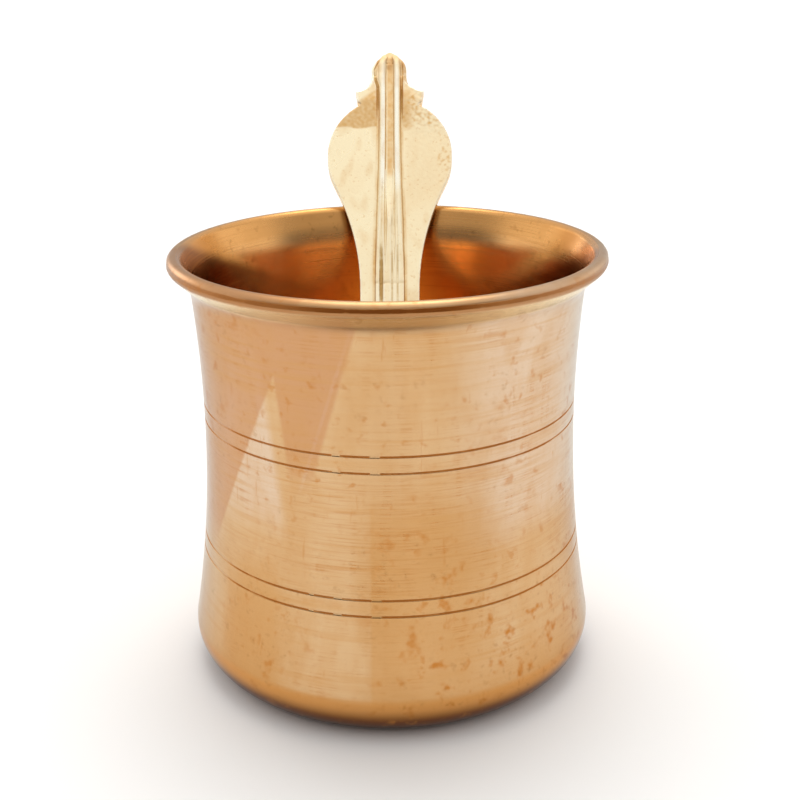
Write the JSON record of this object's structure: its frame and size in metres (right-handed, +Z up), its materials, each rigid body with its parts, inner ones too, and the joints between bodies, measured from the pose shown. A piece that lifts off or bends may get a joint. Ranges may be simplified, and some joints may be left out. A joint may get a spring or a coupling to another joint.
{
  "type": "panchpatra",
  "caption": "Waisted copper ritual water cup with a flared, rolled rim and engraved line pairs, and a cast brass spoon with a hooded, reeded handle that leans in it and lifts out.",
  "frame": {"origin": "middle of the cup's flat base, on the surface that it stands on", "axes": "+Z is up along the cup's axis, the spoon leans back over the rim towards +Y, and +X is to the right when the spoon's face is seen from the front"},
  "size_m": [0.075, 0.0922, 0.1035],
  "materials": {
    "copper_sheet": "spun copper, lathe-polished, with faint turning lines and light tarnish",
    "iron_wire": "bare drawn wire, hidden in the rolled rim",
    "cast_brass": "cast brass, filed and buffed, with grain left in the hollows",
    "raised_brass": "raised brass sheet, polished",
    "rivet_brass": "peened brass"
  },
  "bodies": {
    "cup": {"cup_shell": "copper_sheet", "rim_wire": "iron_wire"},
    "spoon": {"spoon_handle": "cast_brass", "spoon_bowl": "raised_brass", "lower_rivet": "rivet_brass", "upper_rivet": "rivet_brass"}
  },
  "joints": [
    {"name": "spoon_lift", "type": "slide", "parent": "cup", "child": "spoon", "axis": [0, 0, 1], "range_m": [0, 0.085]}
  ]
}
